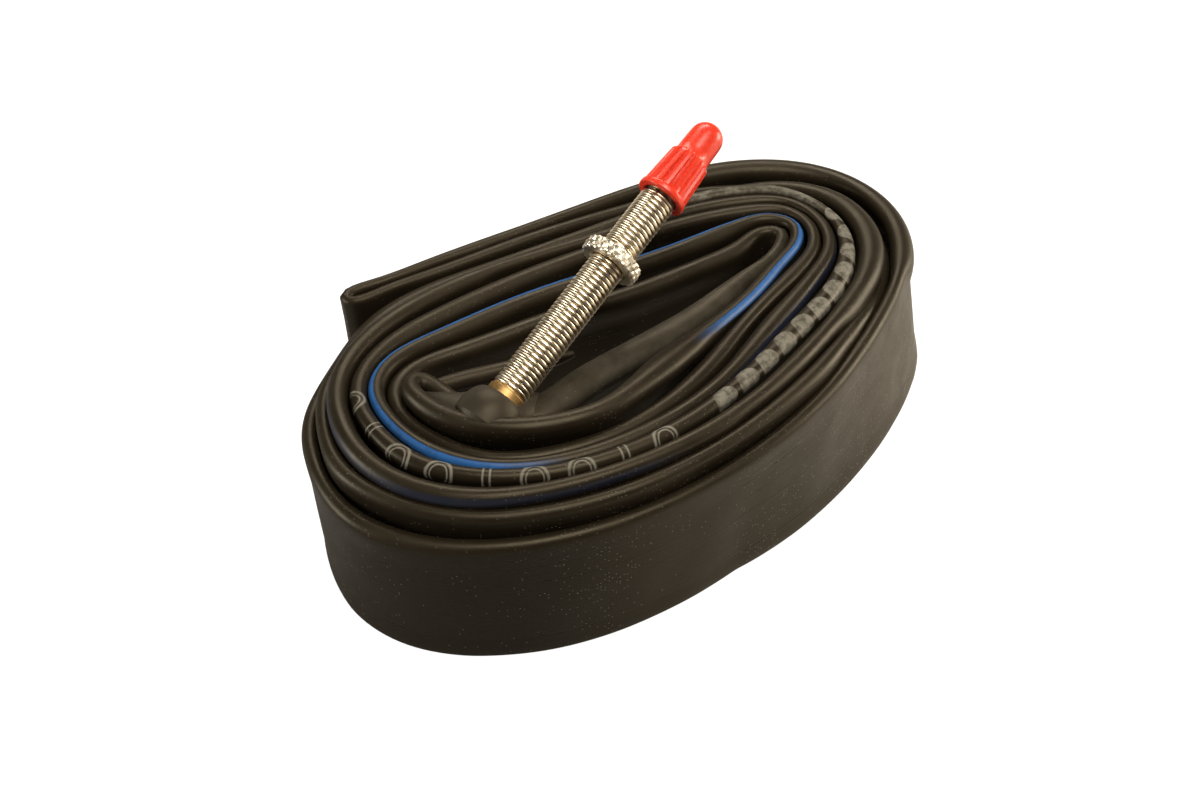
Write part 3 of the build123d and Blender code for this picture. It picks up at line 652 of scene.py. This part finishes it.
def red_material():
    """Moulded translucent red plastic, a little paler where it is thin."""
    g = Graph("red_plastic")
    place = g.place()
    cloud = g.noise(place, 140.0, 3.0, 0.5)
    grain = g.noise(place, 1800.0, 3.0, 0.6)
    colour = g.mix(cloud, (0.70, 0.034, 0.014, 1), (0.83, 0.054, 0.024, 1))
    g.set(Base_Color=colour, Roughness=g.ramp(grain, 0.3, 0.7, 0.24, 0.34))
    g.shader.inputs["Subsurface Weight"].default_value = 0.15
    g.shader.inputs["Subsurface Radius"].default_value = (1.0, 0.2, 0.1)
    g.shader.inputs["Subsurface Scale"].default_value = 0.0008
    g.bump(grain, 0.00003, 0.35)
    return g.material


def axis_sums(g, point, axis):
    """Millimetres along the valve's axis and out from it."""
    place = g.place()
    shifted = g.node("ShaderNodeVectorMath", operation="SUBTRACT")
    g.put(shifted.inputs[0], place)
    shifted.inputs[1].default_value = point
    dot = g.node("ShaderNodeVectorMath", operation="DOT_PRODUCT")
    g.put(dot.inputs[0], shifted.outputs[0])
    dot.inputs[1].default_value = axis
    along = g.math("MULTIPLY", dot.outputs["Value"], 1000.0)
    length = g.node("ShaderNodeVectorMath", operation="LENGTH")
    g.put(length.inputs[0], shifted.outputs[0])
    far = g.math("MULTIPLY", length.outputs["Value"], 1000.0)
    square = g.math("SUBTRACT", g.math("MULTIPLY", far, far), g.math("MULTIPLY", along, along))
    return along, g.math("SQRT", g.math("MAXIMUM", square, 0.0))


# ---- the valve's own frame --------------------------------------------------------------------------
STEM = 5.8
THREAD_ROOT = 2.66
PITCH = 0.794
COLLAR = 6.0
COLLAR_LEN = 1.3
SEAT_MIDDLE = 0.8
THREAD_TOP = 39.4
NECK_TOP = 44.4
NUT_AT = 26.0
NUT_THICK = 2.2
NUT_WIDE = 9.8
CAP_FROM = 39.8

seat = [mount for mount in frame["record"]["mounts"] if mount["name"] == "rim_seat"][0]
AXIS = Vector(seat["axis"]).normalized()
FOOT = Vector(seat["pos_m"]) - AXIS * (SEAT_MIDDLE * MM)
ACROSS = AXIS.cross(Vector((0, 0, 1))).normalized()
OVER = ACROSS.cross(AXIS)


def on_valve(s, radius, angle):
    """The point at s along the valve and radius from its axis, both in millimetres."""
    return FOOT + (AXIS * s + (ACROSS * math.cos(angle) + OVER * math.sin(angle)) * radius) * MM


def turned(name, outline, columns, material, body, replaced=(), angle=30.0):
    """A ring turned about the valve's axis from a closed outline of (s, radius)."""
    vertices = []
    for s, radius in outline:
        for j in range(columns):
            vertices.append(on_valve(s, radius, 2 * math.pi * j / columns))
    faces = closed_grid(len(outline), columns, True)
    piece = piece_from(name, vertices, faces, material, body, replaced)
    mend(piece, angle)
    return piece


def mend(piece, angle):
    """Joins doubled points, faces every face outward and keeps real edges sharp."""
    work = bmesh.new()
    work.from_mesh(piece.data)
    bmesh.ops.remove_doubles(work, verts=work.verts, dist=1e-7)
    bmesh.ops.recalc_face_normals(work, faces=work.faces)
    work.to_mesh(piece.data)
    work.free()
    piece.data.set_sharp_from_angle(angle=math.radians(angle))


def thread_piece(name, start, stop, crest, root, material):
    """A real helical thread between start and stop, closed down to the root at both ends."""
    per_pitch = 8
    columns = 56
    shape = (0.0, 0.62, 0.90, 0.98, 1.0, 0.98, 0.90, 0.62)
    rows = int((stop - start) / PITCH * per_pitch)
    vertices = []
    for i in range(-per_pitch, rows + 1):
        for j in range(columns):
            s = start + (i + j / columns * per_pitch) * PITCH / per_pitch
            radius = root + (crest - root) * shape[i % per_pitch]
            fade = min(1.0, max(0.0, (s - start) / 0.3), max(0.0, (stop - s) / 0.3))
            radius = root + (radius - root) * fade
            vertices.append(on_valve(min(max(s, start), stop), radius, 2 * math.pi * j / columns))
    total = rows + 1 + per_pitch
    faces = []
    for i in range(total - 1):
        for j in range(columns - 1):
            a = i * columns + j
            faces.append((a, a + 1, a + columns + 1, a + columns))
        if i + per_pitch + 1 < total:
            a = i * columns + columns - 1
            b = (i + per_pitch) * columns
            faces.append((a, b, b + columns, a + columns))
    thread = piece_from(name, vertices, faces, material, "tube")
    mend(thread, 60.0)
    return thread


def make_stem(material):
    root = THREAD_ROOT
    bore = 1.3
    outline = [
        (-4.6, bore), (-4.6, 3.7), (-3.6, 3.7), (-3.6, 2.8), (0.0, 2.8), (0.0, COLLAR / 2 - 0.12),
        (0.12, COLLAR / 2), (COLLAR_LEN - 0.15, COLLAR / 2), (COLLAR_LEN, COLLAR / 2 - 0.15),
        (COLLAR_LEN, root), (THREAD_TOP, root), (THREAD_TOP + 0.3, 2.33), (NECK_TOP - 1.2, 2.33),
        (NECK_TOP - 1.2, 2.6), (NECK_TOP - 0.15, 2.6), (NECK_TOP, 2.45), (NECK_TOP, 1.85), (27.0, 1.85),
        (26.5, bore),
    ]
    turned("stem_barrel", outline, 64, material, "tube", ["valve_stem"])
    thread_piece("stem_thread", COLLAR_LEN + 0.1, THREAD_TOP, STEM / 2, root - 0.01, material)
    thread_piece("neck_thread", THREAD_TOP + 0.3, NECK_TOP - 1.3, 2.6, 2.32, material)


def triangle(x):
    return 1 - abs(2 * (x - math.floor(x)) - 1)


def make_nut(material):
    """A thin nut, its rim cut with two staggered rows of pyramids."""
    count = 24
    columns = count * 8
    rows = 14
    deep = 0.30
    bevel = 0.22
    vertices = []
    inside = STEM / 2 + 0.04
    face = NUT_WIDE / 2 - 0.75
    corner = NUT_WIDE / 2 - bevel - deep
    for s, radius in ((NUT_AT, inside + 0.35), (NUT_AT, face), (NUT_AT + 0.02, corner)):
        vertices += [on_valve(s, radius, 2 * math.pi * j / columns) for j in range(columns)]
    for i in range(rows + 1):
        t = i / rows
        s = NUT_AT + bevel * 0.5 + (NUT_THICK - bevel) * t
        edge = min(t, 1 - t) * NUT_THICK
        for j in range(columns):
            turn = j / 8
            height = min(triangle(turn + t), triangle(turn - t))
            radius = NUT_WIDE / 2 - deep * (1 - height) - max(0.0, bevel - edge) * 0.9
            vertices.append(on_valve(s, radius, 2 * math.pi * j / columns))
    top = NUT_AT + NUT_THICK
    for s, radius in ((top - 0.02, corner), (top, face), (top, inside + 0.3), (top - 0.3, inside),
                      (NUT_AT + 0.35, inside)):
        vertices += [on_valve(s, radius, 2 * math.pi * j / columns) for j in range(columns)]
    faces = closed_grid(len(vertices) // columns, columns, True)
    nut = piece_from("knurled_nut", vertices, faces, material, "nut", ["rim_nut"])
    mend(nut, 24.0)


def make_cap(material):
    """A ribbed cap: a flange, sixteen ribs standing on a tapered skirt, and a plain domed top."""
    ribs = 16
    per_rib = 12
    columns = ribs * per_rib
    # s along the valve, radius in the valleys, radius on the ribs
    rows = [
        (0.0, 3.0, 3.0), (0.0, 3.85, 3.85), (0.10, 3.97, 3.97), (0.25, 4.0, 4.0), (0.75, 4.0, 4.0),
        (0.90, 3.96, 3.96), (1.0, 3.86, 3.86), (1.02, 3.50, 3.80), (1.15, 3.44, 3.80), (2.5, 3.36, 3.72),
        (4.5, 3.22, 3.60), (6.3, 3.09, 3.48), (7.3, 3.02, 3.41), (7.7, 2.99, 3.36), (7.95, 2.97, 3.24),
        (8.10, 2.95, 3.08), (8.2, 2.92, 2.95), (8.35, 2.86, 2.86), (9.5, 2.84, 2.84), (11.5, 2.80, 2.80),
        (12.4, 2.75, 2.75),
    ]
    dome = 2.75
    for k in range(1, 10):
        a = math.radians(10 * k)
        rows.append((12.4 + (15.0 - 12.4) * math.sin(a), dome * math.cos(a), dome * math.cos(a)))
    rows.append((15.0, 0.05, 0.05))
    rows += [(13.2, 0.05, 0.05), (13.2, 1.1, 1.1), (12.0, 2.3, 2.3), (8.0, 2.3, 2.3), (7.7, 2.5, 2.5),
             (6.1, 2.5, 2.5), (5.8, 2.65, 2.65), (0.4, 2.65, 2.65)]
    vertices = []
    for s, valley, rib in rows:
        for j in range(columns):
            wave = math.cos(2 * math.pi * j / per_rib)
            up = min(1.0, max(0.0, 0.5 + 0.95 * wave))
            up = up * up * (3 - 2 * up)
            vertices.append(on_valve(CAP_FROM + s, valley + (rib - valley) * up, 2 * math.pi * j / columns))
    faces = closed_grid(len(rows), columns, True)
    cap = piece_from("ribbed_cap", vertices, faces, material, "cap", ["dust_cap"])
    mend(cap, 40.0)


# ---- the rubber round the valve's foot --------------------------------------------------------------
def bead_piece(name, path, columns, material, replaced=()):
    """A closed rounded bead along rows of (x, y, z, half width, half height), in millimetres."""
    rows = np.array(path, float)
    fine = []
    for i in range(len(rows) - 1):
        before, after = rows[max(i - 1, 0)], rows[min(i + 2, len(rows) - 1)]
        a, b = rows[i], rows[i + 1]
        for k in range(10):
            t = k / 10
            fine.append(0.5 * (2 * a + (b - before) * t + (2 * before - 5 * a + 4 * b - after) * t * t
                               + (3 * a - before - 3 * b + after) * t ** 3))
    fine.append(rows[-1])
    fine = np.array(fine)
    way = np.gradient(fine[:, :2], axis=0)
    way /= np.linalg.norm(way, axis=1)[:, None]
    vertices = []
    for row, ahead in zip(fine, way):
        for j in range(columns):
            a = 2 * math.pi * j / columns
            side = row[3] * math.cos(a)
            vertices.append((
                (row[0] + ORIGIN[0] - ahead[1] * side) * MM, (row[1] + ORIGIN[1] + ahead[0] * side) * MM,
                (row[2] + row[4] * math.sin(a)) * MM))
    faces = closed_grid(len(fine), columns, False)
    faces.append(tuple(range(columns)))
    faces.append(tuple(range(len(vertices) - columns, len(vertices)))[::-1])
    piece = piece_from(name, vertices, faces, material, "tube", replaced)
    mend(piece, 80.0)
    return piece


def make_foot_rubber(pad_material, fold_material):
    pad = [
        (-35.6, 1.4, 29.2, 0.5, 0.6), (-34.6, -1.6, 29.4, 2.0, 1.8), (-32.4, -4.6, 29.3, 3.3, 2.4),
        (-29.2, -6.8, 29.0, 4.8, 3.0), (-25.6, -7.6, 28.7, 4.5, 2.9), (-22.6, -7.8, 28.0, 3.2, 2.2),
        (-20.2, -7.8, 27.4, 1.8, 1.5), (-18.6, -7.8, 27.0, 0.5, 0.5),
    ]
    bead_piece("valve_pad", pad, 32, pad_material, ["valve_patch"])
    boss = [
        (-6.0, 3.0), (-6.0, 4.2), (-5.0, 5.0), (-3.4, 5.1), (-1.9, 4.8), (-0.8, 4.3), (-0.2, 3.8),
        (0.02, 3.45), (0.02, 3.02),
    ]
    turned("valve_boss", boss, 64, pad_material, "tube")
    fold = [
        (-36.2, 2.7, 27.6, 0.6, 0.6), (-34.2, 3.1, 27.6, 1.2, 1.4), (-29.2, 2.9, 27.4, 1.4, 1.5),
        (-22.2, 1.9, 27.0, 1.4, 1.5), (-14.2, 1.1, 26.2, 1.2, 1.4), (-10.2, 0.9, 25.6, 0.5, 0.6),
    ]
    bead_piece("inner_fold", fold, 24, fold_material)


# ---- put it together --------------------------------------------------------------------------------
strip_run, strip_flat = strip_line()[:2]
tube_rubber = rubber_material(strip_run, strip_flat)
make_strip(tube_rubber)
pad_rubber = plain_rubber("patch_rubber", (0.020, 0.016, 0.011, 1), (0.042, 0.035, 0.026, 1), 0.50)
seal_rubber = plain_rubber("seal_rubber", (0.012, 0.012, 0.012, 1), (0.025, 0.024, 0.023, 1), 0.6)
fold_rubber = plain_rubber("fold_rubber", (0.012, 0.009, 0.006, 1), (0.024, 0.018, 0.012, 1), 0.42)
make_foot_rubber(pad_rubber, fold_rubber)
plated = plated_material(FOOT, AXIS)
make_stem(plated)
make_nut(metal_material("nickel", (0.66, 0.58, 0.46, 1), (0.84, 0.78, 0.67, 1), 0.34, 0.46))
make_cap(red_material())
core_brass = metal_material("core_brass", (0.55, 0.36, 0.14, 1), (0.76, 0.55, 0.26, 1), 0.22, 0.36)
for name in ("core_body", "core_pin", "seal_washer", "tip_nut"):
    node = frame["nodes"][name]
    node.data.materials.clear()
    node.data.materials.append(core_brass)
for name in ("core_gasket", "pin_seal"):
    node = frame["nodes"][name]
    node.data.materials.clear()
    node.data.materials.append(seal_rubber)
